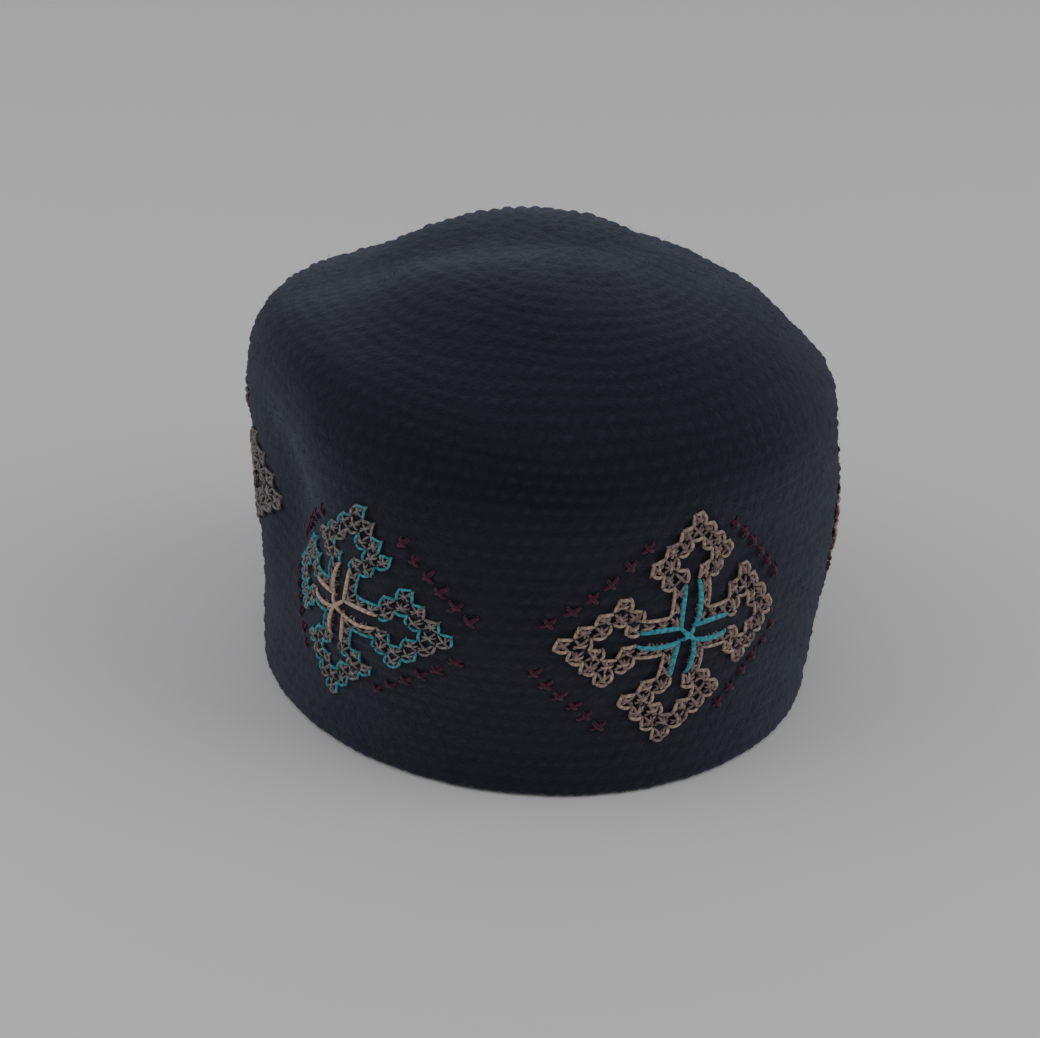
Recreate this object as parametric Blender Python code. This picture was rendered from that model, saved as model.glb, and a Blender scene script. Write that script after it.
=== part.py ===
"""A soft crocheted monastic hat with embroidered crosses, standing on its rim.

Metres, +Z up, the front towards -Y. The origin is the bottom centre of the whole
object's box. Azimuths are in degrees, 0 at the front and positive to the viewer's right.
"""
import bpy
import numpy as np

COLLECTION = "monastic_hat"
MM = 0.001

# Fabric.
WALL = 3.5
ROUNDS = 44.0
STEPS_AROUND = 80
OUTER_RINGS = 28
INNER_RINGS = 18

# The hat's rings, from the rim to the middle of the crown. A ring's radius changes with
# azimuth a as radius + oval * cos 2a + skew * sin 2a, about a centre moved right and back.
# Its height changes as height + dip_front * cos a + dip_right * sin a + saddle * cos 2a.
RING_COLUMNS = ("round", "radius", "right", "back", "oval", "skew", "height", "dip_front", "dip_right", "saddle")
RING_TABLE = (
    (0.0, 89.2, -3.2, -1.1, -0.7, 2.0, 0.0, 0.0, 0.0, 0.0),
    (6.0, 90.9, -1.9, -2.1, -1.2, 0.2, 28.9, 0.6, -0.4, -0.5),
    (12.0, 93.1, -2.6, -5.6, -2.1, -1.7, 57.0, 0.6, -0.5, -0.8),
    (18.0, 92.6, -4.2, -8.8, -2.4, -1.5, 85.6, 1.1, -0.9, -1.2),
    (23.0, 88.4, -5.1, -13.1, -2.7, -0.2, 108.1, 1.9, -2.1, -1.4),
    (27.0, 76.7, -5.9, -14.8, -3.5, 0.6, 122.9, 2.8, -2.9, -2.7),
    (31.0, 60.5, -3.6, -14.2, -2.7, 0.5, 133.7, 2.1, -0.5, -1.6),
    (35.0, 43.4, -1.5, -13.2, -1.4, 0.7, 143.2, 0.6, -2.6, 0.2),
    (39.0, 24.6, 2.0, -12.7, -0.6, 0.5, 148.6, -0.2, -2.4, 0.8),
    (44.0, 0.0, 6.0, -12.6, 0.0, 0.0, 149.1, 0.0, 0.0, 0.0),
)

# The soft fold pressed into the side, left of the front, and the shallow dip in the crown.
FOLD = {"depth": 17.0, "azimuth": -66.2, "azimuth_spread": 15.0, "round": 15.3, "round_spread": 5.3}
CROWN_DIP = {"depth": 3.5, "right": -40.0, "back": -14.0, "right_spread": 24.0, "back_spread": 10.0}

# Embroidery: one arm of the cross as filled cells, outwards from the middle. The key is
# the distance along the arm, the values are the places across it.
ARM_CELLS = {
    1: (-1, 1),
    2: (-1, 1),
    3: (-1, 1),
    4: (-2, -1, 1, 2),
    5: (-3, -2, 2, 3),
    6: (-2, -1, 1, 2),
    7: (-1, 0, 1),
    8: (0,),
}
RELIEF_GAP = 0.5
RELIEF_THICKNESS = 1.1
FABRIC_RADIUS = 92.0
BEIGE = (0.47, 0.34, 0.25, 1.0)
TURQUOISE = (0.06, 0.34, 0.38, 1.0)
BLACK_WOOL = (0.018, 0.018, 0.024, 1.0)

# Where each cross sits, and how the handwork has drawn its cells. cell is their width in
# millimetres and tall their height in rounds. lean moves each round sideways, taper narrows
# the cells upwards, fan spreads the rounds to the right, squeeze narrows the cells to the
# right and bow curves the upright arms.
CROSS_COLUMNS = (
    "name", "azimuth", "round", "cell", "tall", "lean", "taper", "fan", "squeeze", "bow", "colour",
)
CROSS_TABLE = (
    ("cross_front_right", 28.8, 12.22, 4.35, 1.00, 0.16, -0.019, 0.011, 0.0138, -0.0059, BEIGE),
    ("cross_front_left", -40.0, 11.95, 4.20, 0.94, 0.26, -0.001, 0.004, -0.0130, 0.0060, TURQUOISE),
    ("cross_left", -104.0, 13.30, 4.70, 1.00, 0.10, -0.008, 0.007, -0.0160, -0.0080, BEIGE),
    ("cross_back", -177.0, 12.50, 4.50, 1.00, 0.20, -0.008, 0.006, 0.0, 0.0, TURQUOISE),
    ("cross_right", 105.4, 12.00, 4.50, 1.00, 0.20, -0.008, 0.006, 0.0, 0.0, BEIGE),
)


def clear_scene():
    """Remove every object of the starting scene."""
    for old in list(bpy.data.objects):
        bpy.data.objects.remove(old, do_unlink=True)


def fabric_material(name, colour, roughness):
    """A matt yarn material."""
    material = bpy.data.materials.new(name)
    material.use_nodes = True
    shader = material.node_tree.nodes["Principled BSDF"]
    shader.inputs["Base Color"].default_value = colour
    shader.inputs["Roughness"].default_value = roughness
    material.diffuse_color = colour
    return material


def smooth_table(at, knots, values):
    """Natural cubic spline through the table's rows, for each column at once."""
    step = np.diff(knots)
    slope = np.diff(values, axis=0) / step[:, None]
    count = len(knots)
    matrix = np.eye(count)
    right_side = np.zeros_like(values)
    for row in range(1, count - 1):
        matrix[row, row - 1] = step[row - 1]
        matrix[row, row] = 2.0 * (step[row - 1] + step[row])
        matrix[row, row + 1] = step[row]
        right_side[row] = 6.0 * (slope[row] - slope[row - 1])
    bend = np.linalg.solve(matrix, right_side)
    span = np.clip(np.searchsorted(knots, at, side="right") - 1, 0, count - 2)
    width = step[span][..., None]
    after = (at - knots[span])[..., None]
    before = (knots[span + 1] - at)[..., None]
    curve = (bend[span] * before**3 + bend[span + 1] * after**3) / (6.0 * width)
    line = (values[span] / width - bend[span] * width / 6.0) * before
    return curve + line + (values[span + 1] / width - bend[span + 1] * width / 6.0) * after


def hat_point(azimuth, rounds):
    """Points of the hat's outer face in millimetres, from azimuth in radians and rounds."""
    table = np.array(RING_TABLE)
    columns = smooth_table(rounds, table[:, 0], table[:, 1:])
    radius, right, back, oval, skew, height, dip_front, dip_right, saddle = np.moveaxis(columns, -1, 0)
    turn = (azimuth - np.radians(FOLD["azimuth"]) + np.pi) % (2.0 * np.pi) - np.pi
    across = turn / np.radians(FOLD["azimuth_spread"])
    along = (rounds - FOLD["round"]) / FOLD["round_spread"]
    fold = FOLD["depth"] * np.exp(-0.5 * (across**2 + along**2))
    reach = radius + oval * np.cos(2.0 * azimuth) + skew * np.sin(2.0 * azimuth) - fold
    x = right + reach * np.sin(azimuth)
    y = back - reach * np.cos(azimuth)
    z = height + dip_front * np.cos(azimuth) + dip_right * np.sin(azimuth) + saddle * np.cos(2.0 * azimuth)
    dip_x = (x - CROWN_DIP["right"]) / CROWN_DIP["right_spread"]
    dip_y = (y - CROWN_DIP["back"]) / CROWN_DIP["back_spread"]
    on_crown = np.clip((rounds - 24.0) / 6.0, 0.0, 1.0)
    z = z - on_crown * CROWN_DIP["depth"] * np.exp(-0.5 * (dip_x**2 + dip_y**2))
    return np.stack([x, y, z], axis=-1)


def hat_normal(azimuth, rounds):
    """Outward unit normals of the outer face."""
    turn = 0.01
    climb = 0.05
    high = np.minimum(rounds + climb, ROUNDS - 0.01)
    low = np.maximum(rounds - climb, 0.0)
    around = hat_point(azimuth + turn, rounds) - hat_point(azimuth - turn, rounds)
    upward = hat_point(azimuth, high) - hat_point(azimuth, low)
    normal = np.cross(around, upward)
    return normal / np.linalg.norm(normal, axis=-1, keepdims=True)


def ring_grid(ring_count):
    """Azimuths and rounds of a grid of rings, without the crown's middle point."""
    azimuth = np.linspace(-np.pi, np.pi, STEPS_AROUND, endpoint=False)
    rounds = np.linspace(0.0, ROUNDS, ring_count, endpoint=False)
    return np.meshgrid(azimuth, rounds)


def ring_faces(first, ring_count, middle, outward):
    """Quads between rings that start at vertex first, and a fan to the middle point."""
    faces = []
    for ring in range(ring_count - 1):
        base = first + ring * STEPS_AROUND
        for step in range(STEPS_AROUND):
            after = (step + 1) % STEPS_AROUND
            quad = (base + step, base + after, base + STEPS_AROUND + after, base + STEPS_AROUND + step)
            faces.append(quad if outward else quad[::-1])
    last = first + (ring_count - 1) * STEPS_AROUND
    for step in range(STEPS_AROUND):
        fan = (last + step, last + (step + 1) % STEPS_AROUND, middle)
        faces.append(fan if outward else fan[::-1])
    return faces


def make_object(name, points, faces, material, smooth):
    """A mesh object in the hat's collection from points in millimetres."""
    mesh = bpy.data.meshes.new(name)
    mesh.from_pydata((np.asarray(points) * MM).tolist(), [], faces)
    mesh.update()
    mesh.shade_smooth() if smooth else mesh.shade_flat()
    mesh.materials.append(material)
    made = bpy.data.objects.new(name, mesh)
    bpy.data.collections[COLLECTION].objects.link(made)
    return made


def build_body():
    """The hollow fabric shell: outer face, inner face a wall's thickness in, flat rim."""
    azimuth, rounds = ring_grid(OUTER_RINGS)
    outer = hat_point(azimuth, rounds)
    azimuth, rounds = ring_grid(INNER_RINGS)
    inner = hat_point(azimuth, rounds) - WALL * hat_normal(azimuth, rounds)
    inner[0, :, 2] = 0.0
    peak = hat_point(np.zeros(1), np.full(1, ROUNDS))
    outer_count = OUTER_RINGS * STEPS_AROUND
    inner_start = outer_count + 1
    inner_middle = inner_start + INNER_RINGS * STEPS_AROUND
    points = np.concatenate([outer.reshape(-1, 3), peak, inner.reshape(-1, 3), peak - (0.0, 0.0, WALL)])
    faces = ring_faces(0, OUTER_RINGS, outer_count, True)
    faces += ring_faces(inner_start, INNER_RINGS, inner_middle, False)
    for step in range(STEPS_AROUND):
        after = (step + 1) % STEPS_AROUND
        faces.append((after, step, inner_start + step, inner_start + after))
    return make_object("hat_body", points, faces, fabric_material("black_wool", BLACK_WOOL, 0.95), True)


def cross_cells():
    """The cells that a cross fills, its arm turned to the four directions."""
    cells = set()
    for along, places in ARM_CELLS.items():
        for across in places:
            cells.update([(along, across), (-along, -across), (-across, along), (across, -along)])
    return sorted(cells)


def build_cross(place):
    """One raised cross: its cells laid on the fabric as one thin stepped plate."""
    cells = cross_cells()
    filled = set(cells)
    corners = sorted({(i + right, j + up) for i, j in cells for right in (0, 1) for up in (0, 1)})
    number = {corner: index for index, corner in enumerate(corners)}
    i = np.array([corner[0] - 0.5 for corner in corners])
    j = np.array([corner[1] - 0.5 for corner in corners])
    across = i * (1.0 + place["taper"] * j - place["squeeze"] * i)
    sideways = place["cell"] * (across + place["lean"] * j + place["bow"] * j**2)
    azimuth = np.radians(place["azimuth"]) + sideways / FABRIC_RADIUS
    rounds = place["round"] + place["tall"] * j * (1.0 + place["fan"] * i)
    face = hat_point(azimuth, rounds)
    normal = hat_normal(azimuth, rounds)
    under = face + RELIEF_GAP * normal
    points = np.concatenate([under, under + RELIEF_THICKNESS * normal])
    lift = len(corners)
    faces = []
    for i, j in cells:
        quad = [number[(i, j)], number[(i + 1, j)], number[(i + 1, j + 1)], number[(i, j + 1)]]
        faces.append(tuple(index + lift for index in quad))
        faces.append(tuple(reversed(quad)))
        sides = (((i, j - 1), 0, 1), ((i + 1, j), 1, 2), ((i, j + 1), 2, 3), ((i - 1, j), 3, 0))
        for neighbour, start, end in sides:
            if neighbour not in filled:
                faces.append((quad[start], quad[end], quad[end] + lift, quad[start] + lift))
    return make_object(place["name"], points, faces, fabric_material(place["name"] + "_yarn", place["colour"], 0.8), False)


def stand_on_origin(objects):
    """Move the meshes so that the whole box's bottom centre is the origin."""
    every = np.concatenate([[vertex.co[:] for vertex in item.data.vertices] for item in objects])
    low = every.min(axis=0)
    high = every.max(axis=0)
    shift = np.array([-(low[0] + high[0]) / 2.0, -(low[1] + high[1]) / 2.0, -low[2]])
    for item in objects:
        for vertex in item.data.vertices:
            vertex.co = [value + move for value, move in zip(vertex.co, shift)]
        item.data.update()


clear_scene()
bpy.context.scene.collection.children.link(bpy.data.collections.new(COLLECTION))
pieces = [build_body()]
pieces += [build_cross(dict(zip(CROSS_COLUMNS, row))) for row in CROSS_TABLE]
stand_on_origin(pieces)
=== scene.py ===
import math
import bpy
import numpy as np
from mathutils import Matrix, Vector


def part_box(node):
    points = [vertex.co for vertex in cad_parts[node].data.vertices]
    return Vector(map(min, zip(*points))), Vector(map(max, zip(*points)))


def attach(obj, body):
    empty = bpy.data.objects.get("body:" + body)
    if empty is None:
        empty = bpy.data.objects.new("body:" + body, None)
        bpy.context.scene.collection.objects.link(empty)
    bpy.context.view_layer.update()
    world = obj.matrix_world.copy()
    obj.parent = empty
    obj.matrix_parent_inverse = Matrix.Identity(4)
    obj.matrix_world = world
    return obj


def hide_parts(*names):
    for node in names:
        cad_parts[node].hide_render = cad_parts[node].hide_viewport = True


# Crocheted monastic hat with embroidered crosses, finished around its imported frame.
# Work is in millimetres until a mesh is made. Azimuth 0 is the front (-Y), positive to the right.
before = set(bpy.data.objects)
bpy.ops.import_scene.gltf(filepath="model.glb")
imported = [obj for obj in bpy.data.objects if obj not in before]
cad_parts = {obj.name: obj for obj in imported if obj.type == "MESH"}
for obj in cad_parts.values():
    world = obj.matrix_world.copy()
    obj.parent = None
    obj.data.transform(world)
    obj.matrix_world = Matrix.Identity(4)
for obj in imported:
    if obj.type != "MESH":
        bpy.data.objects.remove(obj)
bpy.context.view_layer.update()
mm = 0.001
fullTurn = 2.0 * math.pi
rng = np.random.default_rng(44)  # every random draw comes from here
print("frame loaded", sorted(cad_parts))


hatForm = {
    # round, radius, right, back, oval, skew, height, dipFront, dipRight, saddle
    "rings": (
        (0.0, 89.2, -3.2, -1.1, -0.7, 2.0, 0.0, 0.0, 0.0, 0.0),
        (6.0, 90.9, -1.9, -2.1, -1.2, 0.2, 28.9, 0.6, -0.4, -0.5),
        (12.0, 93.1, -2.6, -5.6, -2.1, -1.7, 57.0, 0.6, -0.5, -0.8),
        (18.0, 92.6, -4.2, -8.8, -2.4, -1.5, 85.6, 1.1, -0.9, -1.2),
        (23.0, 88.4, -5.1, -13.1, -2.7, -0.2, 108.1, 1.9, -2.1, -1.4),
        (27.0, 76.7, -5.9, -14.8, -3.5, 0.6, 122.9, 2.8, -2.9, -2.7),
        (31.0, 60.5, -3.6, -14.2, -2.7, 0.5, 133.7, 2.1, -0.5, -1.6),
        (35.0, 43.4, -1.5, -13.2, -1.4, 0.7, 143.2, 0.6, -2.6, 0.2),
        (39.0, 24.6, 2.0, -12.7, -0.6, 0.5, 148.6, -0.2, -2.4, 0.8),
        (44.0, 0.0, 6.0, -12.6, 0.0, 0.0, 149.1, 0.0, 0.0, 0.0),
    ),
    "fold": {"depth": 17.0, "azimuth": -66.2, "azimuthSpread": 15.0, "round": 15.3, "roundSpread": 5.3},
    "crownDip": {"depth": 3.5, "right": -40.0, "back": -14.0, "rightSpread": 24.0, "backSpread": 10.0,
                 "start": 24.0, "ramp": 6.0},
    "rounds": 44.0,         # of stitches, from the rim to the crown's middle
    "sideRounds": 23.0,     # of these up the side
    "wall": 3.5,
    "fabricRadius": 92.0,   # of the side, for widths measured round it
    "roundHeight": 4.83,    # of one round along the fabric
    "bodyGrid": (80, 28),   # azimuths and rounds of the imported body's own mesh
}
roundCount = int(hatForm["rounds"])


# Natural cubic spline through the rows: (b0*before^3 + b1*after^3)/6w plus straight-line terms,
# the bends b solved so that slope and bend run on smoothly from row to row.
def smoothTable(at, knots, values):
    step = np.diff(knots)
    slope = np.diff(values, axis=0) / step[:, None]
    count = len(knots)
    system = np.eye(count)
    target = np.zeros_like(values)
    for row in range(1, count - 1):
        system[row, row - 1:row + 2] = (step[row - 1], 2.0 * (step[row - 1] + step[row]), step[row])
        target[row] = 6.0 * (slope[row] - slope[row - 1])
    bend = np.linalg.solve(system, target)
    span = np.clip(np.searchsorted(knots, at, side="right") - 1, 0, count - 2)
    width = step[span][..., None]
    after = (at - knots[span])[..., None]
    before = (knots[span + 1] - at)[..., None]
    curve = (bend[span] * before**3 + bend[span + 1] * after**3) / (6.0 * width)
    startLine = (values[span] / width - bend[span] * width / 6.0) * before
    endLine = (values[span + 1] / width - bend[span + 1] * width / 6.0) * after
    return curve + startLine + endLine


# Outer face: reach = radius + oval cos 2a + skew sin 2a - fold, x = right + reach sin a,
# y = back - reach cos a, z = height + dipFront cos a + dipRight sin a + saddle cos 2a - dip.
# fold and dip are bell curves; the first is pressed into the side, the second into the crown.
def formPoint(azimuth, rounds):
    table = np.array(hatForm["rings"])
    columns = smoothTable(rounds, table[:, 0], table[:, 1:])
    radius, right, back, oval, skew, height, dipFront, dipRight, saddle = np.moveaxis(columns, -1, 0)
    fold, crownDip = hatForm["fold"], hatForm["crownDip"]
    turn = (azimuth - math.radians(fold["azimuth"]) + math.pi) % fullTurn - math.pi
    across = turn / math.radians(fold["azimuthSpread"])
    along = (rounds - fold["round"]) / fold["roundSpread"]
    reach = radius + oval * np.cos(2.0 * azimuth) + skew * np.sin(2.0 * azimuth)
    reach = reach - fold["depth"] * np.exp(-0.5 * (across**2 + along**2))
    x = right + reach * np.sin(azimuth)
    y = back - reach * np.cos(azimuth)
    z = height + dipFront * np.cos(azimuth) + dipRight * np.sin(azimuth) + saddle * np.cos(2.0 * azimuth)
    dipX = (x - crownDip["right"]) / crownDip["rightSpread"]
    dipY = (y - crownDip["back"]) / crownDip["backSpread"]
    onCrown = np.clip((rounds - crownDip["start"]) / crownDip["ramp"], 0.0, 1.0)
    z = z - onCrown * crownDip["depth"] * np.exp(-0.5 * (dipX**2 + dipY**2))
    return np.stack([x, y, z], axis=-1)


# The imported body's lowest corner less the formula's, on the body's own grid of rings.
def frameShift():
    turns, rings = hatForm["bodyGrid"]
    azimuth, rounds = np.meshgrid(
        np.linspace(-math.pi, math.pi, turns, endpoint=False),
        np.linspace(0.0, hatForm["rounds"], rings, endpoint=False),
    )
    low = formPoint(azimuth, rounds).reshape(-1, 3).min(axis=0)
    return np.array(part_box("hat_body")[0]) / mm - low


hatShift = frameShift()

uneven = {
    "out": 0.35,              # mm off the fabric
    "along": 0.15,            # rounds along it
    "waves": 9,
    "turns": (1, 9),          # waves round the hat
    "climbs": (0.15, 0.9),    # phase from round to round
    "rimFade": 4.0,           # rounds over which it starts and ends
    "topFade": 6.0,
}
waveTurns = rng.integers(*uneven["turns"], uneven["waves"])
waveClimbs = rng.uniform(*uneven["climbs"], uneven["waves"])
wavePhases = rng.uniform(0.0, fullTurn, (2, uneven["waves"]))


# Slight handmade unevenness: a sum of waves sin(turns*a + climb*n + phase), faded out at the rim and
# the crown's middle.
def unevenness(azimuth, rounds, which):
    angle = azimuth[..., None] * waveTurns + rounds[..., None] * waveClimbs + wavePhases[which]
    fade = np.clip(rounds / uneven["rimFade"], 0.0, 1.0)
    fade = fade * np.clip((hatForm["rounds"] - rounds) / uneven["topFade"], 0.0, 1.0)
    return np.sin(angle).sum(axis=-1) / math.sqrt(uneven["waves"]) * fade


# Point of the fabric's mean outer face, its rounds wandering a little: form(a, n + wander) + shift.
def fabricPoint(azimuth, rounds):
    wander = uneven["along"] * unevenness(azimuth, rounds, 1)
    return formPoint(azimuth, np.clip(rounds + wander, 0.0, hatForm["rounds"])) + hatShift


# Unit normal = around x upward, both from differences of neighbouring points, turn and climb away.
def fabricNormal(azimuth, rounds, turn=0.01, climb=0.05):
    high = np.minimum(rounds + climb, hatForm["rounds"] - 0.2 * climb)
    low = np.maximum(high - 2.0 * climb, 0.0)
    around = fabricPoint(azimuth + turn, rounds) - fabricPoint(azimuth - turn, rounds)
    upward = fabricPoint(azimuth, high) - fabricPoint(azimuth, low)
    normal = np.cross(around, upward)
    return normal / np.linalg.norm(normal, axis=-1, keepdims=True)


# Mesh piece from points in mm, face index rows, and one (u, v) for each face corner.
def makePiece(name, points, faces, corners, materials, shade=None, rise=None, facing=None):
    mesh = bpy.data.meshes.new(name)
    mesh.from_pydata((points * mm).tolist(), [], faces)
    layer = mesh.uv_layers.new(name="yarn")
    layer.data.foreach_set("uv", np.ascontiguousarray(corners, dtype=np.float32).ravel())
    for material in materials:
        mesh.materials.append(material)
    if shade is not None:
        mesh.polygons.foreach_set("material_index", np.asarray(shade, dtype=np.int32))
    if rise is not None:
        height = mesh.attributes.new("rise", "FLOAT", "POINT")
        height.data.foreach_set("value", rise.astype(np.float32))
    if facing is not None:
        smoothed = mesh.attributes.new("fabric_normal", "FLOAT_VECTOR", "POINT")
        smoothed.data.foreach_set("vector", facing.astype(np.float32).ravel())
    mesh.polygons.foreach_set("use_smooth", np.ones(len(faces), bool))
    mesh.update()
    piece = bpy.data.objects.new(name, mesh)
    bpy.context.scene.collection.objects.link(piece)
    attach(piece, "root")
    print(name, len(mesh.vertices), "points", sum(len(face) - 2 for face in faces), "triangles")
    return piece


def newMaterial(name):
    material = bpy.data.materials.new(name)
    material.use_nodes = True
    nodes = material.node_tree.nodes
    return material, nodes, material.node_tree.links, nodes["Principled BSDF"]


# Noise read at scaled object or UV places: fineness is in waves a metre for each axis.
def addNoise(nodes, links, source, fineness, detail, roughness):
    coords = nodes.new("ShaderNodeTexCoord")
    mapping = nodes.new("ShaderNodeMapping")
    mapping.inputs["Scale"].default_value = fineness
    noise = nodes.new("ShaderNodeTexNoise")
    noise.inputs["Scale"].default_value = 1.0
    noise.inputs["Detail"].default_value = detail
    noise.inputs["Roughness"].default_value = roughness
    links.new(coords.outputs[source], mapping.inputs["Vector"])
    links.new(mapping.outputs["Vector"], noise.inputs["Vector"])
    return noise.outputs["Fac"]


def addRamp(nodes, links, factor, stops):
    ramp = nodes.new("ShaderNodeValToRGB")
    ramp.color_ramp.elements[0].position, ramp.color_ramp.elements[0].color = stops[0]
    ramp.color_ramp.elements[1].position, ramp.color_ramp.elements[1].color = stops[-1]
    for position, colour in stops[1:-1]:
        ramp.color_ramp.elements.new(position).color = colour
    links.new(factor, ramp.inputs["Fac"])
    return ramp.outputs["Color"]


# Normal softened by fluff: (1 - share) * the surface's + share * the fabric's own, without stitches.
def addSoftNormal(nodes, links, share):
    surface = nodes.new("ShaderNodeNewGeometry")
    fabric = nodes.new("ShaderNodeAttribute")
    fabric.attribute_name = "fabric_normal"
    mix = nodes.new("ShaderNodeMix")
    mix.data_type = "VECTOR"
    mix.inputs[0].default_value = share
    unit = nodes.new("ShaderNodeVectorMath")
    unit.operation = "NORMALIZE"
    links.new(surface.outputs["Normal"], mix.inputs[4])
    links.new(fabric.outputs["Vector"], mix.inputs[5])
    links.new(mix.outputs[1], unit.inputs[0])
    return unit.outputs[0]


def addBump(nodes, links, height, strength, distance, before=None):
    bump = nodes.new("ShaderNodeBump")
    bump.inputs["Strength"].default_value = strength
    bump.inputs["Distance"].default_value = distance
    links.new(height, bump.inputs["Height"])
    if before is not None:
        links.new(before, bump.inputs["Normal"])
    return bump.outputs["Normal"]


# Two colours multiplied, the second weighted by share.
def multiplyColours(nodes, links, share, first, second):
    mix = nodes.new("ShaderNodeMix")
    mix.data_type = "RGBA"
    mix.blend_type = "MULTIPLY"
    mix.inputs[0].default_value = share
    links.new(first, mix.inputs[6])
    links.new(second, mix.inputs[7])
    return mix.outputs[2]


wool = {
    "paintedGrooveShade": (0.0031, 0.0020, 0.0040, 1.0),   # painted shade in the grooves between stitches
    "body": (0.0046, 0.0029, 0.0058, 1.0),   # the yarn itself
    "fluffAndPaintedLight": (0.0062, 0.0042, 0.0078, 1.0),   # fluffed tops of stitches, lighter partly as painted light
    "riseStops": (0.10, 0.62, 1.0),          # where on a stitch these three lie
    "soft": 0.80,                            # how far fluff hides the stitches from the light
    "roughness": 1.0,
    "specular": 0.08,
    "sheen": 0.158,
    "sheenRoughness": 0.64,
    "sheenTint": (0.61, 0.685, 0.86, 1.0),
    # fineness in waves a metre, detail and roughness of each noise
    "mottle": ((95.0, 95.0, 95.0), 4.0, 0.6),
    "grain": ((640.0, 640.0, 640.0), 4.0, 0.72),    # clumps of fluff
    "strands": ((2600.0, 520.0, 1.0), 3.0, 0.6),    # across and along the yarn
    "fluff": ((1500.0, 1500.0, 1500.0), 5.0, 0.75),
    # how much the mottle and the clumps darken and lighten
    "mottleTones": ((0.30, (0.82, 0.80, 0.84, 1.0)), (0.72, (1.18, 1.18, 1.16, 1.0))),
    "grainTones": ((0.34, (0.50, 0.48, 0.52, 1.0)), (0.68, (1.55, 1.52, 1.50, 1.0))),
    # strength and depth in metres of each bump
    "grainBump": (0.55, 0.0007),
    "strandBump": (0.30, 0.0003),
    "fluffBump": (0.35, 0.0003),
}


# Black wool: painted shade darkens the grooves and painted light with fluff lightens the stitch tops (the
# rise attribute), mottled, with strands and fluff as bump.
def woolMaterial():
    material, nodes, links, shader = newMaterial("black_wool")
    rise = nodes.new("ShaderNodeAttribute")
    rise.attribute_name = "rise"
    # the rise ramp paints shade into the grooves and light onto the stitch tops
    stops = tuple(zip(wool["riseStops"], (wool["paintedGrooveShade"], wool["body"], wool["fluffAndPaintedLight"])))
    yarn = addRamp(nodes, links, rise.outputs["Fac"], stops)
    mottle = addNoise(nodes, links, "Object", *wool["mottle"])
    grain = addNoise(nodes, links, "Object", *wool["grain"])
    strands = addNoise(nodes, links, "UV", *wool["strands"])
    fluff = addNoise(nodes, links, "Object", *wool["fluff"])
    patches = addRamp(nodes, links, mottle, wool["mottleTones"])
    clumps = addRamp(nodes, links, grain, wool["grainTones"])
    mottled = multiplyColours(nodes, links, 1.0, yarn, patches)
    links.new(multiplyColours(nodes, links, 1.0, mottled, clumps), shader.inputs["Base Color"])
    normal = addSoftNormal(nodes, links, wool["soft"])
    for height, bump in ((grain, "grainBump"), (strands, "strandBump"), (fluff, "fluffBump")):
        normal = addBump(nodes, links, height, *wool[bump], normal)
    links.new(normal, shader.inputs["Normal"])
    shader.inputs["Roughness"].default_value = wool["roughness"]
    shader.inputs["Specular IOR Level"].default_value = wool["specular"]
    shader.inputs["Sheen Weight"].default_value = wool["sheen"]
    shader.inputs["Sheen Roughness"].default_value = wool["sheenRoughness"]
    shader.inputs["Sheen Tint"].default_value = wool["sheenTint"]
    return material


# Dark and light parts of each thread.
threadColours = {
    "beige": ((0.145, 0.099, 0.074, 1.0), (0.365, 0.270, 0.210, 1.0)),
    "stone": ((0.085, 0.070, 0.064, 1.0), (0.205, 0.180, 0.168, 1.0)),
    "turquoise": ((0.015, 0.115, 0.142, 1.0), (0.050, 0.285, 0.335, 1.0)),
    "mauve": ((0.070, 0.043, 0.043, 1.0), (0.240, 0.162, 0.152, 1.0)),
    "peach": ((0.24, 0.158, 0.112, 1.0), (0.45, 0.325, 0.248, 1.0)),
    "grey": ((0.050, 0.041, 0.040, 1.0), (0.245, 0.210, 0.196, 1.0)),
    "maroon": ((0.024, 0.004, 0.012, 1.0), (0.068, 0.009, 0.028, 1.0)),
}
threadFinish = {
    "mottle": ((1000.0, 1000.0, 1000.0), 3.0, 0.6),   # fineness in waves a metre, detail, roughness
    "fibres": ((2600.0, 2600.0, 2600.0), 4.0, 0.7),
    "stops": (0.32, 0.66),       # where the dark part ends and the light part begins
    "twists": (900.0, 2.0, 1.0), # slanting ply lines a metre of thread
    "plyWidth": 0.32,
    "plyLoose": 0.6,
    # darker at the bottom of the grooves between plies: painted shade
    "paintedPlyShade": ((0.0, (0.70, 0.70, 0.70, 1.0)), (0.55, (1.0, 1.0, 1.0, 1.0))),
    "plyShare": 0.8,
    "plyBump": (0.45, 0.0002),   # strength and depth in metres
    "fibreBump": (0.5, 0.0002),
    "roughness": 0.90,
    "specular": 0.15,
    "sheen": 0.10,
    "sheenRoughness": 0.5,
}
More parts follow.
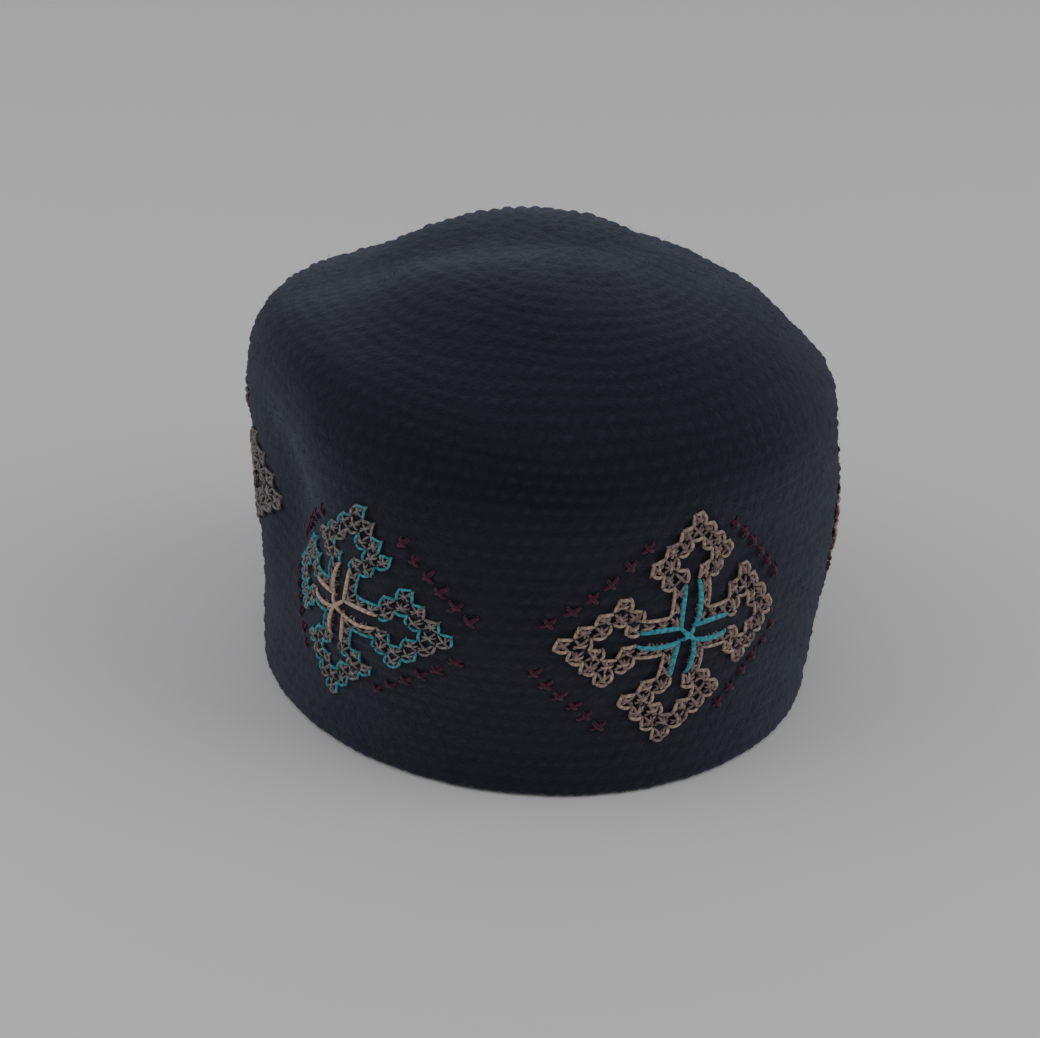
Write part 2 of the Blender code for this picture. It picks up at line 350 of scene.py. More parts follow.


# Embroidery wool: two tones mottled along the thread, its plies as slanting lines in bump and as painted
# shade darkening the grooves between plies.
def threadMaterial(name):
    material, nodes, links, shader = newMaterial(name + "_thread")
    mottle = addNoise(nodes, links, "Object", *threadFinish["mottle"])
    tone = addRamp(nodes, links, mottle, tuple(zip(threadFinish["stops"], threadColours[name])))
    coords = nodes.new("ShaderNodeTexCoord")
    mapping = nodes.new("ShaderNodeMapping")
    mapping.inputs["Scale"].default_value = threadFinish["twists"]
    plies = nodes.new("ShaderNodeTexWave")
    plies.bands_direction = "DIAGONAL"
    plies.inputs["Scale"].default_value = threadFinish["plyWidth"]
    plies.inputs["Distortion"].default_value = threadFinish["plyLoose"]
    links.new(coords.outputs["UV"], mapping.inputs["Vector"])
    links.new(mapping.outputs["Vector"], plies.inputs["Vector"])
    # painted shade darkens the grooves between the plies
    grooves = addRamp(nodes, links, plies.outputs["Fac"], threadFinish["paintedPlyShade"])
    base = multiplyColours(nodes, links, threadFinish["plyShare"], tone, grooves)
    links.new(base, shader.inputs["Base Color"])
    fibres = addNoise(nodes, links, "Object", *threadFinish["fibres"])
    twisted = addBump(nodes, links, plies.outputs["Fac"], *threadFinish["plyBump"])
    hairy = addBump(nodes, links, fibres, *threadFinish["fibreBump"], twisted)
    links.new(hairy, shader.inputs["Normal"])
    shader.inputs["Roughness"].default_value = threadFinish["roughness"]
    shader.inputs["Specular IOR Level"].default_value = threadFinish["specular"]
    shader.inputs["Sheen Weight"].default_value = threadFinish["sheen"]
    shader.inputs["Sheen Roughness"].default_value = threadFinish["sheenRoughness"]
    return material


blackWool = woolMaterial()
threads = {name: threadMaterial(name) for name in threadColours}
print("materials made")


crochet = {
    "stitches": 126,        # in each round of the side
    "stitchWidth": 4.55,    # mm, sets the count where the crown closes
    "groove": 0.95,         # mm between rounds and stitches
    "innerGroove": 0.6,
    "innerShift": 0.5,      # of a stitch, from the outer face's to the inner's
    "softness": 0.75,       # below 1 makes stitches rounder and the gaps narrower
    "stitchShare": 0.75,    # how deep the gap between stitches is next to that between rounds
    "slant": 0.30,          # stitches lean to the right
    "cleft": 0.10,          # between the two legs of a stitch
    "cleftWidth": 0.10,
    "uneven": 0.42,
    "calm": 0.8,            # rounds at the crown's middle over which the stitches fade
    "offset": 0.47,         # of a stitch from round to round
    "offsetLoose": 0.10,
    "sizeCount": 140,       # random sizes kept for a round
    "edgeGap": 0.004,       # rounds between a band's edge and its nearest row
    "rimRoll": 0.2,         # mm that the rim's roll is thicker
    "topHole": 0.02,        # rounds left open for the fans at the crown's middle
    "topDip": 0.5,          # mm that the outer middle lies below the fabric
    "rimRise": 0.6,         # painted shade of the rim and of the crown's middle, on the rise scale
    "topRise": 0.3,
}


# Whole stitches in every round: constant on the side, then the round's length over a stitch's width.
def countStitches():
    table = np.array(hatForm["rings"])
    middles = np.arange(roundCount) + 0.5
    radius = smoothTable(middles, table[:, 0], table[:, 1:2])[:, 0]
    counts = np.maximum(6, np.round(fullTurn * radius / crochet["stitchWidth"])).astype(int)
    onSide = middles < hatForm["sideRounds"]
    return np.where(onSide, crochet["stitches"], np.minimum(counts, crochet["stitches"]))


stitchCounts = countStitches()
offsetLoose = crochet["offsetLoose"]
roundOffsets = rng.uniform(-offsetLoose, offsetLoose, roundCount) + np.arange(roundCount) * crochet["offset"]
stitchSizes = rng.uniform(-1.0, 1.0, (roundCount, crochet["sizeCount"]))


# Height of the stitches, 0 on top and -groove between: bead(v, c) = row(1 - s(1 - stitch)) with
# row = ((1 - cos 2 pi v)/2)^p and stitch = ((1 + cos 2 pi c)/2)^p, v the place in the round and
# c the place across the leaning stitch, less a narrow cleft at c = 0.
def crochetRelief(azimuth, rounds, groove, shift=0.0):
    number = np.clip(np.floor(rounds).astype(int), 0, roundCount - 1)
    within = rounds - number
    count = stitchCounts[number]
    place = azimuth / fullTurn * count + roundOffsets[number] + shift
    place = place - crochet["slant"] * (within - 0.5)
    along = np.floor(place).astype(int)
    across = place - along - 0.5
    size = 1.0 + crochet["uneven"] * stitchSizes[number, along % count]
    row = (0.5 - 0.5 * np.cos(fullTurn * within)) ** crochet["softness"]
    stitch = (0.5 + 0.5 * np.cos(fullTurn * across)) ** crochet["softness"]
    bead = row * (1.0 - crochet["stitchShare"] * (1.0 - stitch))
    cleft = crochet["cleft"] * np.exp(-((across / crochet["cleftWidth"]) ** 2))
    cleft = cleft * np.sin(math.pi * np.clip(within, 0.0, 1.0))
    calm = np.clip((hatForm["rounds"] - rounds) / crochet["calm"], 0.0, 1.0)
    return groove * ((bead - cleft) * size * calm - 1.0)


# Rounds of a band's rows on one face, with a row close to each edge that keeps the shading of the
# groove there as it is in the other grooves.
def bandRounds(band, perRound):
    first, last = band["rounds"]
    even = np.linspace(first, last, int(round((last - first) * perRound)) + 1)
    return np.sort(np.append(even, [first + crochet["edgeGap"], last - crochet["edgeGap"]]))


# Profile of a band: rows of (layer, round, rim angle), layer 0 the outer face, 1 the inner and -1 the
# rim, from the inner face's top edge down, round the rim if there is one, and up the outer face.
def bandProfile(band):
    rows = [(1.0, rounds, 0.0) for rounds in bandRounds(band, band["innerRings"])[::-1]]
    if band["rim"]:
        turns = np.linspace(math.pi, 0.0, band["rim"] + 1)[1:-1]
        rows += [(-1.0, band["rounds"][0], turn) for turn in turns]
    rows += [(0.0, rounds, 0.0) for rounds in bandRounds(band, band["outerRings"])]
    return np.array(rows)


# Faces between two closed rows of points: lower, the one beside it, upper beside, upper.
def ringFaces(lower, upper):
    beside = np.roll(lower, -1, axis=-1), np.roll(upper, -1, axis=-1)
    return np.stack([lower, *beside, upper], axis=-1).reshape(-1, 4)


# Triangles from a closed row of points to its middle: point, the one beside it, middle.
def ringFan(row, middle):
    beside = np.roll(row, -1, axis=-1)
    return np.stack([row, beside, np.broadcast_to(middle, row.shape)], axis=-1).reshape(-1, 3)


# Corners (u, v) of faces on a grid, from a pair of u and v for each of a face's four corners.
def faceCorners(pairs):
    return np.stack([np.stack(np.broadcast_arrays(*pair), -1) for pair in pairs], axis=-2).reshape(-1, 2)


# A band of the hat as one closed ring: outer = fabric + relief*normal, inner = fabric
# - (wall + relief)*normal, rim = middle + wall/2*(cos t*normal - sin t*upward), on the floor at z = 0.
def crochetBand(band):
    profile = bandProfile(band)
    if band["crown"]:
        profile = profile[profile[:, 1] < hatForm["rounds"] - crochet["topHole"]]
    around, wall, shift = band["around"], hatForm["wall"], crochet["innerShift"]
    angle = np.linspace(-math.pi, math.pi, around, endpoint=False)
    azimuth, layer = np.meshgrid(angle, profile[:, 0])
    outside, inside, onRim = layer == 0.0, layer == 1.0, (layer == -1.0)[..., None]
    rounds = np.repeat(profile[:, 1:2], around, axis=1)
    turn = np.repeat(profile[:, 2:3], around, axis=1)[..., None]
    base = fabricPoint(azimuth, rounds)
    normal = fabricNormal(azimuth, rounds)
    wave = uneven["out"] * unevenness(azimuth, rounds, 0)
    outRelief = crochetRelief(azimuth, rounds, crochet["groove"]) + wave
    inRelief = crochetRelief(azimuth, rounds, crochet["innerGroove"], shift) - wave
    away = np.where(outside, outRelief, np.where(inside, -wall - inRelief, 0.0))
    points = base + away[..., None] * normal
    facing = np.where(inside[..., None], -normal, normal)
    if band["rim"]:
        level = np.stack([np.cos(azimuth), np.sin(azimuth), 0.0 * azimuth], axis=-1)
        upward = np.cross(normal, level)
        upward = upward / np.linalg.norm(upward, axis=-1, keepdims=True)
        half = 0.5 * wall + 0.5 * (outRelief + crochet["rimRoll"])
        roll = np.cos(turn) * normal - np.sin(turn) * upward
        rim = base - 0.5 * wall * normal + half[..., None] * roll
        points = np.where(onRim, rim, points)
        facing = np.where(onRim, roll, facing)
        points[..., 2] = np.maximum(points[..., 2], 0.0)
    points, facing = points.reshape(-1, 3), facing.reshape(-1, 3)
    # rise, 0 in the grooves and 1 on the stitch tops, drives the wool's painted groove shade and painted
    # light on the tops
    riseOut = 1.0 + crochetRelief(azimuth, rounds, 1.0)
    riseIn = 1.0 + crochetRelief(azimuth, rounds, 1.0, shift)
    rise = np.where(outside, riseOut, np.where(inside, riseIn, crochet["rimRise"])).reshape(-1)
    grid = np.arange(len(points)).reshape(-1, around)
    faces = ringFaces(grid[:-1], grid[1:]).tolist()
    # yarn coordinates in metres, u round the hat and v up the fabric
    u = angle * hatForm["fabricRadius"] * mm
    uBeside = u + fullTurn / around * hatForm["fabricRadius"] * mm
    v = profile[:, 1:2] * hatForm["roundHeight"] * mm
    corners = faceCorners(((u, v[:-1]), (uBeside, v[:-1]), (uBeside, v[1:]), (u, v[1:])))
    if band["crown"]:
        # two fans close the crown: one at the inner middle (first row), one at the outer (last row)
        middle = fabricPoint(np.zeros(1), np.full(1, hatForm["rounds"]))
        faces += ringFan(grid[0], len(points))[:, (1, 0, 2)].tolist()
        faces += ringFan(grid[-1], len(points) + 1).tolist()
        points = np.concatenate([points, middle - (0.0, 0.0, wall), middle - (0.0, 0.0, crochet["topDip"])])
        facing = np.concatenate([facing, [(0.0, 0.0, -1.0), (0.0, 0.0, 1.0)]])
        rise = np.concatenate([rise, np.full(2, crochet["topRise"])])
        closing = 2 * 3 * around
    else:
        # the top edge of the outer face joins the top edge of the inner face
        faces += ringFaces(grid[-1], grid[0]).tolist()
        closing = 4 * around
    corners = np.concatenate([corners, np.zeros((closing, 2))])
    piece = makePiece(band["name"], points, faces, corners, [blackWool], rise=rise, facing=facing)
    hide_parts("hat_body")


# Bands meet in the grooves between rounds. The first has the rim, the last closes at the crown's middle.
bands = (
    {"name": "hat_side_lower", "rounds": (0.36, 11.0), "around": 756, "outerRings": 7, "innerRings": 4,
     "rim": 9, "crown": False},
    {"name": "hat_side_upper", "rounds": (11.0, 22.0), "around": 756, "outerRings": 7, "innerRings": 4,
     "rim": 0, "crown": False},
    {"name": "hat_shoulder", "rounds": (22.0, 31.0), "around": 630, "outerRings": 7, "innerRings": 4,
     "rim": 0, "crown": False},
    {"name": "hat_crown", "rounds": (31.0, 44.0), "around": 420, "outerRings": 7, "innerRings": 4,
     "rim": 0, "crown": True},
)
for band in bands:
    crochetBand(band)
print("fabric made")


# Threads as closed tubes, all at once: ring t of a thread lies at path(t) + width/2 cos q * side
# + height/2 sin q * out, with out the fabric's normal there and side = out x direction of the thread.
def threadTubes(paths, outs, widths, heights, sides):
    count, rings = paths.shape[:2]
    forward = np.gradient(paths, axis=1)
    forward = forward / np.linalg.norm(forward, axis=-1, keepdims=True)
    side = np.cross(outs, forward)
    side = side / np.linalg.norm(side, axis=-1, keepdims=True)
    out = np.cross(forward, side)
    angle = np.arange(sides) * fullTurn / sides
    circle = (
        0.5 * widths[..., None, None] * np.cos(angle)[:, None] * side[:, :, None, :]
        + 0.5 * heights[..., None, None] * np.sin(angle)[:, None] * out[:, :, None, :]
    )
    skin = (paths[:, :, None, :] + circle).reshape(-1, 3)
    tips = paths[:, (0, -1)].reshape(-1, 3)
    grid = np.arange(count * rings * sides).reshape(count, rings, sides)
    first = len(skin) + 2 * np.arange(count)[:, None]
    faces = ringFaces(grid[:, :-1], grid[:, 1:]).tolist()
    faces += ringFan(grid[:, 0], first)[:, (1, 0, 2)].tolist()
    faces += ringFan(grid[:, -1], first + 1).tolist()
    # yarn coordinates: u metres along the thread, v turns round it
    steps = np.cumsum(np.linalg.norm(np.diff(paths, axis=1), axis=-1), axis=1)
    u = np.concatenate([np.zeros((count, 1)), steps], axis=1)[..., None] * mm
    v = np.arange(sides + 1) / sides
    near, far = u[:, :-1], u[:, 1:]
    corners = faceCorners(((near, v[:-1]), (near, v[1:]), (far, v[1:]), (far, v[:-1])))
    corners = np.concatenate([corners, np.zeros((2 * 3 * count * sides, 2))])
    return np.concatenate([skin, tips]), faces, corners


threadOrder = ("outline", "filling", "long", "mark")  # the material slots of a cross


# Several sets of tubes as one piece's points, faces, corners and material numbers.
def joinTubes(sets):
    points, faces, corners, shade, first = [], [], [], [], 0
    for (setPoints, setFaces, setCorners), kind in sets:
        points.append(setPoints)
        faces += [[index + first for index in face] for face in setFaces]
        corners.append(setCorners)
        shade += [threadOrder.index(kind)] * len(setFaces)
        first += len(setPoints)
    return np.concatenate(points), faces, np.concatenate(corners), shade


# Widths and heights in mm, reaches and places in cells. lift is how high a stitch's middle lies over the
# fabric and low its ends, plump the ends' share of the width, loose how far the ends stray.
embroidery = {
    # one arm: distance along it, and the places across it that are filled
    "arm": {1: (-1, 1), 2: (-1, 1), 3: (-1, 1), 4: (-2, -1, 1, 2), 5: (-3, -2, 2, 3),
            6: (-2, -1, 1, 2), 7: (-1, 0, 1), 8: (0,)},
    "outline": {"width": 1.12, "height": 1.00, "rings": 7, "sides": 7, "bulge": 0.07, "lift": 0.62,
                "low": -0.45, "plump": 0.66, "shorter": 0.06, "loose": 0.07},
    "filling": {"width": 1.04, "height": 0.74, "rings": 7, "sides": 6, "reach": 0.42, "lift": 0.20,
                "low": -0.60, "plump": 0.66, "loose": 0.08},
    "bar": {"width": 0.82, "height": 0.68, "rings": 7, "sides": 6, "reach": 0.42, "lift": 0.60,
            "low": -0.40, "plump": 0.66, "loose": 0.12},
    "long": {"width": 1.65, "height": 1.20, "rings": 12, "sides": 8, "bow": 0.19, "lift": 1.00,
             "low": -0.40, "plump": 0.50, "loose": 0.03},
    "mark": {"width": 1.35, "height": 0.55, "rings": 7, "sides": 6, "reach": 0.34, "lift": 0.12,
             "low": -0.60, "plump": 0.50, "loose": 0.12},
    # width and height of the threads of the crosses with a turquoise contour
    "thinner": {"outline": (0.88, 0.80), "filling": (0.80, 0.64), "bar": (0.68, 0.58), "long": (1.35, 1.05)},
    "hump": 0.35,                 # below 1 makes stitches flatter along the middle, steeper at the ends
    "thickness": (0.92, 1.10),    # from thread to thread
    "layer": 0.35,                # mm that the second of two crossed strands lies higher
    "cornerPull": 0.20,
    "neck": {"from": 1.45, "to": 3.55, "side": 1.5, "end": 3.6, "channel": 0.75},
    # share of the contour's stitches that are of the filling's thread
    "plainShare": {"beige": 0.12, "stone": 0.12, "turquoise": 0.45},
    # the upright strands: way, share of the cells that have one, share of these in the contour's thread
    "uprights": (((0.95, 0.15), 0.85), ((-0.15, 0.95), 0.60)),
    "colouredShare": 0.35,
    # the long stitches along the arms, each end as (along, side), and the small cross over the middle
    "longSpan": ((3.45, 0.56), (0.40, 0.50)),
    "middle": {"starts": ((-0.62, 0.55), (-0.45, -0.45)), "lift": 1.5, "width": 1.5, "low": 0.0},
    # small stitches in four slanting rows round the cross
    "marks": ((-3.9, 6.6), (-5.0, 5.6), (-6.1, 4.6), (-7.1, 3.7), (-8.1, 2.8), (-9.2, 1.8),
              (-8.9, -1.7), (-8.0, -2.7), (-7.0, -3.6), (-6.0, -4.6), (-5.0, -5.5), (-4.1, -6.4)),
}
crossColumns = ("name", "azimuth", "round", "cell", "tall", "lean", "taper", "fan", "squeeze", "bow",
                "drop", "outline", "filling", "long")
crosses = (
    ("cross_front_right", 28.8, 12.22, 4.35, 1.00, 0.16, -0.019, 0.011, 0.0138, -0.0059,
     0.8, "beige", "mauve", "turquoise"),
    ("cross_front_left", -40.0, 11.95, 4.20, 0.94, 0.26, -0.001, 0.004, -0.0130, 0.0060,
     0.0, "turquoise", "grey", "peach"),
    ("cross_left", -104.0, 13.30, 4.70, 1.00, 0.10, -0.008, 0.007, -0.0160, -0.0080,
     0.0, "stone", "grey", "peach"),
    ("cross_back", -177.0, 12.50, 4.50, 1.00, 0.20, -0.008, 0.006, 0.0, 0.0,
     0.0, "turquoise", "grey", "peach"),
    ("cross_right", 105.4, 12.00, 4.50, 1.00, 0.20, -0.008, 0.006, 0.0, 0.0,
     0.0, "beige", "mauve", "turquoise"),
)


def crossCells():
    cells = set()
    for along, places in embroidery["arm"].items():
        for across in places:
            cells.update([(along, across), (-along, -across), (-across, along), (across, -along)])
    return cells


# Edges between a filled cell and an empty one, each as start, end and the way out of the cell.
# The neck's outer edges and the edges along the middle channel are left to longer stitches.
def outlineEdges(cells):
    neck = embroidery["neck"]
    starts, ends, ways = [], [], []
    steps = (((0, -1), (-0.5, -0.5), (0.5, -0.5)), ((1, 0), (0.5, -0.5), (0.5, 0.5)),
             ((0, 1), (0.5, 0.5), (-0.5, 0.5)), ((-1, 0), (-0.5, 0.5), (-0.5, -0.5)))
    for i, j in sorted(cells):
        for way, start, end in steps:
            if (i + way[0], j + way[1]) in cells:
                continue
            near, far = sorted(np.abs((i + 0.5 * way[0], j + 0.5 * way[1])))
            if far < neck["end"] and (near < neck["channel"] or near == neck["side"]):
                continue
            starts.append((i + start[0], j + start[1]))
            ends.append((i + end[0], j + end[1]))
            ways.append(way)
    return np.array(starts), np.array(ends), np.array(ways, float)


# How round a corner is: a corner with one filled cell beside it is drawn in towards that cell.
def pullCorners(points, cells):
    around = np.array([(-0.5, -0.5), (0.5, -0.5), (0.5, 0.5), (-0.5, 0.5)])
    beside = np.round(points[:, None] + around).astype(int)
    filled = np.array([[tuple(cell) in cells for cell in row] for row in beside.tolist()])
    alone = filled.sum(axis=1, keepdims=True) == 1
    inward = (filled[..., None] * around).sum(axis=1)
    return points + np.where(alone, embroidery["cornerPull"] * inward, 0.0)


# Points on both sides of each arm: x = along cos - side sin, y = along sin + side cos.
def onArms(along, side):
    turns = ((1.0, 0.0), (0.0, 1.0), (-1.0, 0.0), (0.0, -1.0))
    return np.array([(along * c - s * way, along * s + c * way) for c, s in turns for way in (-side, side)])


# From cells to the fabric: azimuth = centre + cell(i(1 + taper j - squeeze i) + lean j + bow j^2)/R
# and round = centre + tall j(1 + fan i).
def onFabric(cross, cellsAt, lift):
    i, j = cellsAt[..., 0], cellsAt[..., 1]
    across = i * (1.0 + cross["taper"] * j - cross["squeeze"] * i)
    sideways = cross["cell"] * (across + cross["lean"] * j + cross["bow"] * j**2)
    azimuth = math.radians(cross["azimuth"]) + sideways / hatForm["fabricRadius"]
    rounds = cross["round"] + cross["tall"] * j * (1.0 + cross["fan"] * i)
    normal = fabricNormal(azimuth, rounds)
    return fabricPoint(azimuth, rounds) + lift[..., None] * normal, normal


# Stitches from a to b: place = a + (b - a)t + way * 4t(1-t), lift = low + (high - low) * hump with
# hump = sin(pi t)^h, so that each lies flat and dives into the fabric at its rounded ends, where the
# rings stand closer: t = (1 - cos(pi s))/2.
def stitchSet(cross, starts, ends, size, ways=0.0):
    t = 0.5 - 0.5 * np.cos(np.linspace(0.0, math.pi, size["rings"]))
    loose = size["loose"]
    starts = starts + rng.uniform(-loose, loose, starts.shape)
    ends = ends + rng.uniform(-loose, loose, ends.shape)
    bulge = (ways + np.zeros_like(starts))[:, None] * (4.0 * t * (1.0 - t))[:, None]
    path = starts[:, None] + (ends - starts)[:, None] * t[:, None] + bulge
    hump = np.clip(np.sin(math.pi * t), 0.0, 1.0) ** embroidery["hump"]
    lift = size["low"] + (size["lift"] - size["low"]) * hump
    points, normals = onFabric(cross, path, lift)
    thick = rng.uniform(*embroidery["thickness"], (len(starts), 1))
    thick = thick * (size["plump"] + (1.0 - size["plump"]) * hump)
    return threadTubes(points, normals, size["width"] * thick, size["height"] * thick, size["sides"])


# Short stitches along the contour, and one longer stitch along each outer side of each arm's neck.
def contourStitches(cross, cells, size):
    starts, ends, ways = outlineEdges(cells)
    starts, ends = pullCorners(starts, cells), pullCorners(ends, cells)
    short = size["shorter"] * (ends - starts)
    starts, ends, ways = starts + short, ends - short, size["bulge"] * ways
    plain = rng.uniform(0.0, 1.0, len(starts)) < embroidery["plainShare"][cross["outline"]]
    sets = []
    for chosen, kind in ((~plain, "outline"), (plain, "filling")):
        sets.append((stitchSet(cross, starts[chosen], ends[chosen], size, ways[chosen]), kind))
    neck = embroidery["neck"]
    neckStarts, neckEnds = onArms(neck["from"], neck["side"]), onArms(neck["to"], neck["side"])
    sets.append((stitchSet(cross, neckStarts, neckEnds, size), "outline"))
    return sets


# Two strands crossed in each cell; the second lies on the first.
def crossedStrands(cross, centres, size, kind):
    reach = size["reach"]
    sets = []
    for layer, turn in enumerate(((-reach, -reach), (-reach, reach))):
        above = dict(size, lift=size["lift"] + embroidery["layer"] * layer)
        sets.append((stitchSet(cross, centres + turn, centres - turn, above), kind))
    return sets


# An upright cross over most of the slanting ones, some of it in the contour's thread.
def uprightStrands(cross, centres, size):
    sets = []
    for way, share in embroidery["uprights"]:
        draw = rng.uniform(0.0, 1.0, len(centres))
        coloured = (draw < embroidery["colouredShare"] * share) & (cross["outline"] != "turquoise")
        step = np.array(way) * size["reach"]
        for picked, kind in ((coloured, "outline"), ((draw < share) & ~coloured, "filling")):
            if picked.any():
                middles = centres[picked]
                sets.append((stitchSet(cross, middles - step, middles + step, size), kind))
    return sets


# Two long stitches along each arm, and a small cross over the middle.
def longStitches(cross, size):
    start, end = embroidery["longSpan"]
    bow = onArms(0.0, size["bow"])
    sets = [(stitchSet(cross, onArms(*start), onArms(*end), size, bow), "long")]
    middle = dict(size, **embroidery["middle"])
    starts = np.array(middle["starts"])
    sets.append((stitchSet(cross, starts, -starts, middle), "long"))
    return sets


# Middles of the marks; drop lowers the lower left row, the other side is the mirror image without it, and
# the left cross has no other side.
def markCentres(cross):
    marks = np.array(embroidery["marks"])
    left = marks.copy()
    left[marks[:, 1] < 0.0, 1] -= cross["drop"]
    if cross["name"] == "cross_left":
        return left
    return np.concatenate([left, marks * (-1.0, 1.0)])


def embroider(row):
    cross = dict(zip(crossColumns, row))
    sizes = {part: dict(embroidery[part]) for part in ("outline", "filling", "bar", "long")}
    if cross["outline"] == "turquoise":
        for part, (width, height) in embroidery["thinner"].items():
            sizes[part].update(width=width, height=height)
    cells = crossCells()
    centres = np.array(sorted(cells), float)
    sets = contourStitches(cross, cells, sizes["outline"])
    sets += crossedStrands(cross, centres, sizes["filling"], "filling")
    sets += uprightStrands(cross, centres, sizes["bar"])
    sets += longStitches(cross, sizes["long"])
    sets += crossedStrands(cross, markCentres(cross), embroidery["mark"], "mark")
    points, faces, corners, shade = joinTubes(sets)
    used = [threads[cross[part]] for part in ("outline", "filling", "long")] + [threads["maroon"]]
    piece = makePiece(cross["name"] + "_yarn", points, faces, corners, used, shade=shade)
    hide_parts(cross["name"])


for row in crosses:
    embroider(row)
print("embroidery made")


strayFibres = {
    "count": 7000,
    "sideShare": 0.68,       # of the hairs, the rest grow on the crown
    "sideRounds": (0.3, 24.0),
    "middleGap": 0.02,       # share of the crown left bare at its middle
    "length": (0.8, 2.6),
    "thickness": 0.11,
    "taper": 0.75,
    "stand": (0.15, 0.90),   # how far they stand off the fabric
    "bend": 0.45,
    "drop": (-0.30, 0.20),
    "depth": 0.15,           # of the roots in the fabric
    "lowest": 0.05,          # above the floor
    "rise": 0.9,             # tone of fluff with painted light, as on the tops of stitches
    "rings": 3,
    "sides": 3,
}


# Fine hairs on the wool: path = root + L(t*heading + t^2(bend*sideways + drop*normal)), the heading
# leaning off the fabric.
def makeFibres():
    count, rings = strayFibres["count"], strayFibres["rings"]
    azimuth = rng.uniform(-math.pi, math.pi, count)
    onSide = int(count * strayFibres["sideShare"])
    onCrown = count - onSide
    top, start = hatForm["rounds"], strayFibres["sideRounds"][1]
    rounds = np.concatenate([
        rng.uniform(*strayFibres["sideRounds"], onSide),
        top - (top - start) * np.sqrt(rng.uniform(strayFibres["middleGap"], 1.0, onCrown)),
    ])
    normal = fabricNormal(azimuth, rounds)
    depth = crochetRelief(azimuth, rounds, crochet["groove"]) - strayFibres["depth"]
    root = fabricPoint(azimuth, rounds) + depth[:, None] * normal
    loose = rng.normal(size=(count, 3))
    flat = loose - (loose * normal).sum(-1, keepdims=True) * normal
    flat = flat / np.linalg.norm(flat, axis=-1, keepdims=True)
    sideways = np.cross(normal, flat)
    stand = rng.uniform(*strayFibres["stand"], (count, 1))
    heading = flat * np.sqrt(1.0 - stand**2) + normal * stand
    length = rng.uniform(*strayFibres["length"], (count, 1, 1))
    bend = rng.normal(0.0, strayFibres["bend"], (count, 1, 1))
    drop = rng.uniform(*strayFibres["drop"], (count, 1, 1))
    t = np.linspace(0.0, 1.0, rings)[:, None]
    turned = bend * sideways[:, None] + drop * normal[:, None]
    paths = root[:, None] + length * (t * heading[:, None] + t**2 * turned)
    paths[..., 2] = np.maximum(paths[..., 2], strayFibres["lowest"])
    outs = np.repeat(normal[:, None], rings, axis=1)
    taper = 1.0 - strayFibres["taper"] * t[:, 0]
    thick = strayFibres["thickness"] * np.repeat(taper[None], count, axis=0)
    points, faces, corners = threadTubes(paths, outs, thick, thick, strayFibres["sides"])
    # the hairs take the stitch tops' tone: fluff with painted light
    rise = np.full(len(points), strayFibres["rise"])
    piece = makePiece("hat_stray_fibres", points, faces, corners, [blackWool], rise=rise)


makeFibres()
print("fibres made")


studio = {
    "floor": (0.50, 0.475, 0.465, 1.0),
    "floorRoughness": 0.85,
    "floorHalf": 12.0,      # metres
    "floorLow": -0.0003,    # metres below the rim
    "sky": (0.80, 0.82, 0.87, 1.0),
    "skyStrength": 0.76,
    # name, place, aim, side length, strength in watts, colour; metres
    "lamps": (
        ("leftLamp", (-1.2, -0.35, 1.05), (0.0, 0.0, 0.08), 1.2, 9.0, (0.90, 0.95, 1.0)),
        ("rightLamp", (1.2, -0.35, 1.1), (0.0, 0.0, 0.08), 1.2, 12.0, (0.92, 0.96, 1.0)),
        ("frontLamp", (-0.4, -1.6, 1.5), (0.0, 0.0, 0.06), 2.2, 4.2, (1.0, 0.95, 0.89)),
        ("lowLamp", (0.0, -0.19, 0.004), (0.0, -0.189, 0.5), 0.16, 0.05, (1.0, 0.97, 0.95)),
    ),
}


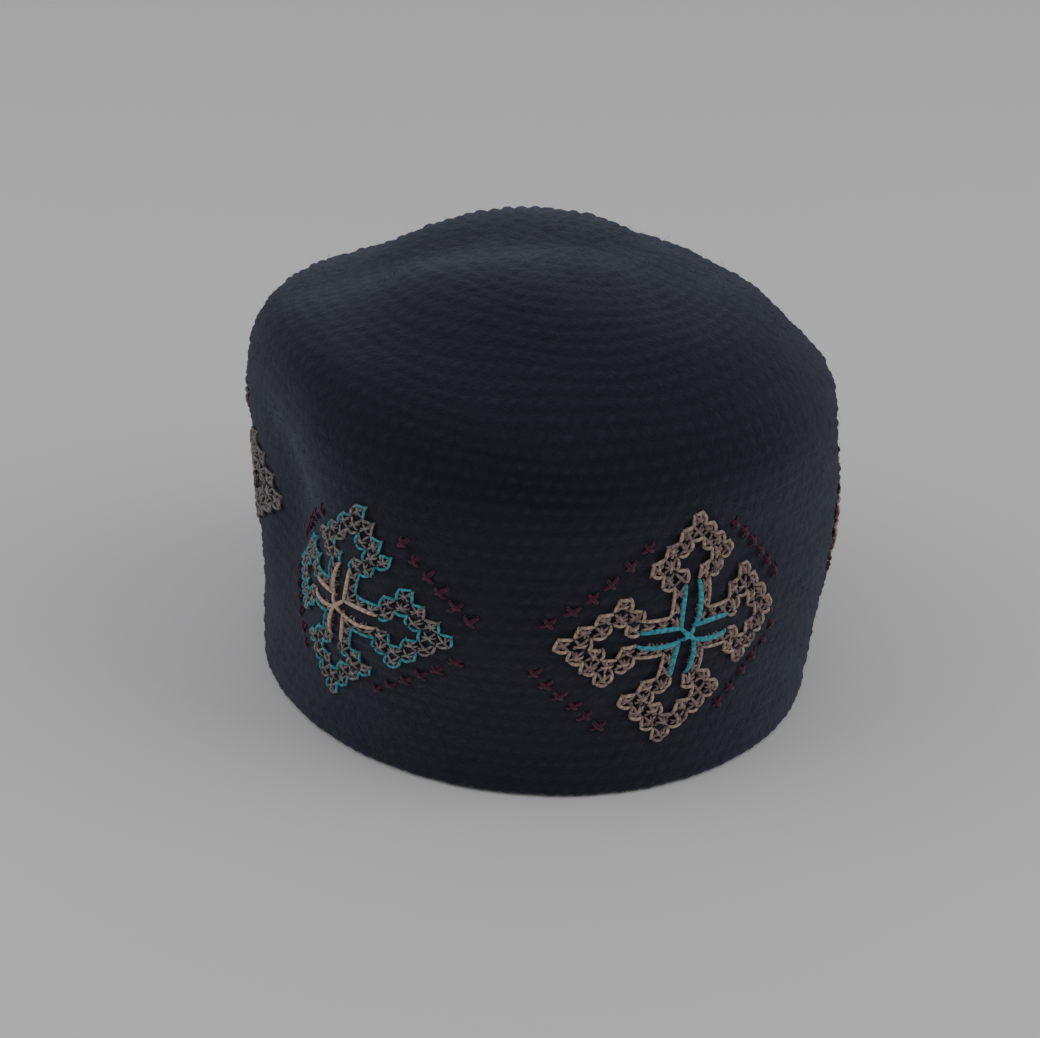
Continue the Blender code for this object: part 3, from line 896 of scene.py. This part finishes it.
def makeFloor():
    mesh = bpy.data.meshes.new("floor")
    half, low = studio["floorHalf"], studio["floorLow"]
    corners = [(x * half, y * half, low) for x, y in ((-1, -1), (1, -1), (1, 1), (-1, 1))]
    mesh.from_pydata(corners, [], [(0, 1, 2, 3)])
    floor = bpy.data.objects.new("floor", mesh)
    bpy.context.scene.collection.objects.link(floor)
    material, nodes, links, shader = newMaterial("pale_floor")
    shader.inputs["Base Color"].default_value = studio["floor"]
    shader.inputs["Roughness"].default_value = studio["floorRoughness"]
    mesh.materials.append(material)


def makeLights():
    world = bpy.data.worlds.new("studio")
    world.use_nodes = True
    background = world.node_tree.nodes["Background"]
    background.inputs["Color"].default_value = studio["sky"]
    background.inputs["Strength"].default_value = studio["skyStrength"]
    bpy.context.scene.world = world
    for name, place, aim, size, strength, colour in studio["lamps"]:
        lamp = bpy.data.lights.new(name, "AREA")
        lamp.shape, lamp.size, lamp.energy, lamp.color = "SQUARE", size, strength, colour
        holder = bpy.data.objects.new(name, lamp)
        holder.location = place
        holder.rotation_euler = (Vector(aim) - Vector(place)).to_track_quat("-Z", "Y").to_euler()
        holder.visible_camera = False
        bpy.context.scene.collection.objects.link(holder)


# Fitted to the photo: place in metres, angles in degrees, focal length and picture width in pixels.
cameraSetup = {
    "place": (-0.00694, -0.65734, 0.40224),
    "elevation": 28.184,
    "roll": 2.036,
    "pixels": 2300.0,
    "width": 1040.0,
    "sensor": 36.0,
    "clip": (0.01, 30.0),
}


# Camera axes: right and up turned by the roll about the line of sight, which looks down by the elevation.
def makeCamera():
    elevation, roll = math.radians(cameraSetup["elevation"]), math.radians(cameraSetup["roll"])
    level = Vector((1.0, 0.0, 0.0))
    up = Vector((0.0, math.sin(elevation), math.cos(elevation)))
    right = level * math.cos(roll) + up * math.sin(roll)
    top = up * math.cos(roll) - level * math.sin(roll)
    back = right.cross(top)
    lens = bpy.data.cameras.new("camera")
    lens.sensor_width = cameraSetup["sensor"]
    lens.lens = cameraSetup["sensor"] * cameraSetup["pixels"] / cameraSetup["width"]
    lens.clip_start, lens.clip_end = cameraSetup["clip"]
    camera = bpy.data.objects.new("camera", lens)
    turn = Matrix((right, top, back)).transposed().to_4x4()
    camera.matrix_world = Matrix.Translation(cameraSetup["place"]) @ turn
    bpy.context.scene.collection.objects.link(camera)
    bpy.context.scene.camera = camera


makeFloor()
makeLights()
makeCamera()
print("studio made")
